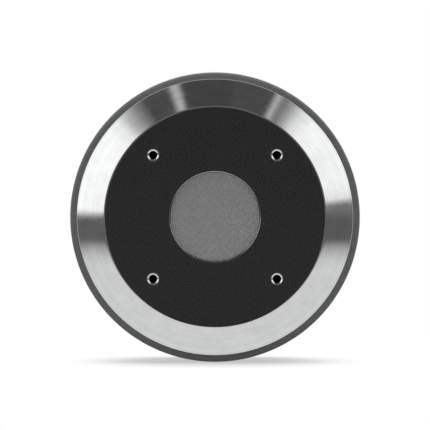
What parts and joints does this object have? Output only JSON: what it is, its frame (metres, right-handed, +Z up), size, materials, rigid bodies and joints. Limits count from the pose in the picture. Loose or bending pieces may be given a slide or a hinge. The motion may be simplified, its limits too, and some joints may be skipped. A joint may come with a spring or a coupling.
{
  "type": "compression driver",
  "caption": "Round bolt-on compression driver (horn tweeter motor) with chamfered steel front plate, ferrite ring, mesh-covered throat and ribbed rear cover.",
  "frame": {"origin": "centre of the throat on the front gasket's face, which is the plane that meets the horn", "axes": "-Y out of the throat towards the horn, +Y to the rear cover, +Z up to the push terminals, +X to the right seen from the front"},
  "size_m": [0.17, 0.084, 0.17],
  "materials": {
    "foam": "matte",
    "turned_steel": "polished",
    "plated_steel": "satin",
    "steel_mesh": "satin",
    "ferrite": "matte",
    "copper": "satin",
    "black_plastic": "satin",
    "cover_plastic": "satin",
    "dome_metal": "satin",
    "former_film": "satin",
    "surround_film": "satin",
    "gasket_fibre": "matte",
    "felt": "matte",
    "black_screw": "satin",
    "brass": "satin",
    "red_plastic": "gloss",
    "wire_red": "satin",
    "wire_black": "satin"
  },
  "bodies": {
    "motor": {"front_gasket": "foam", "front_plate": "turned_steel", "pole_piece": "plated_steel", "throat_mesh": "steel_mesh", "ferrite_magnet": "ferrite", "top_plate": "plated_steel", "shorting_sleeve": "copper", "phase_plug": "black_plastic", "surround": "surround_film", "diaphragm_frame": "black_plastic", "locating_pin_1": "plated_steel", "locating_pin_2": "plated_steel", "cover_gasket": "gasket_fibre", "rear_cover": "cover_plastic", "damping_pad": "felt", "frame_screw_1": "black_screw", "frame_screw_2": "black_screw", "frame_screw_3": "black_screw", "frame_screw_4": "black_screw", "cover_screw_1": "black_screw", "cover_screw_2": "black_screw", "cover_screw_3": "black_screw", "cover_screw_4": "black_screw", "cover_screw_5": "black_screw", "cover_screw_6": "black_screw", "contact_tab_red": "brass", "coil_lead_red": "copper", "lead_wire_red": "wire_red", "terminal_bushing_red": "black_plastic", "terminal_post_red": "brass", "terminal_spring_red": "plated_steel", "terminal_nut_red": "plated_steel", "terminal_lug_red": "brass", "contact_tab_black": "brass", "coil_lead_black": "copper", "lead_wire_black": "wire_black", "terminal_bushing_black": "black_plastic", "terminal_post_black": "brass", "terminal_spring_black": "plated_steel", "terminal_nut_black": "plated_steel", "terminal_lug_black": "brass"},
    "diaphragm": {"diaphragm_dome": "dome_metal", "coil_former": "former_film", "voice_coil": "copper"},
    "button_red": {"terminal_button_red": "red_plastic"},
    "button_black": {"terminal_button_black": "black_plastic"}
  },
  "joints": [
    {"name": "diaphragm_stroke", "type": "slide", "parent": "motor", "child": "diaphragm", "axis": [0, 1, 0], "range_m": [-0.0004, 0.0004], "stiffness_N_per_m": 20000, "deforming": ["surround", "coil_lead_red", "coil_lead_black"]},
    {"name": "button_red_press", "type": "slide", "parent": "motor", "child": "button_red", "axis": [0, 0, -1], "range_m": [0, 0.0025], "stiffness_N_per_m": 600, "springref_m": -0.003, "deforming": ["terminal_spring_red"]},
    {"name": "button_black_press", "type": "slide", "parent": "motor", "child": "button_black", "axis": [0, 0, -1], "range_m": [0, 0.0025], "stiffness_N_per_m": 600, "springref_m": -0.003, "deforming": ["terminal_spring_black"]}
  ]
}
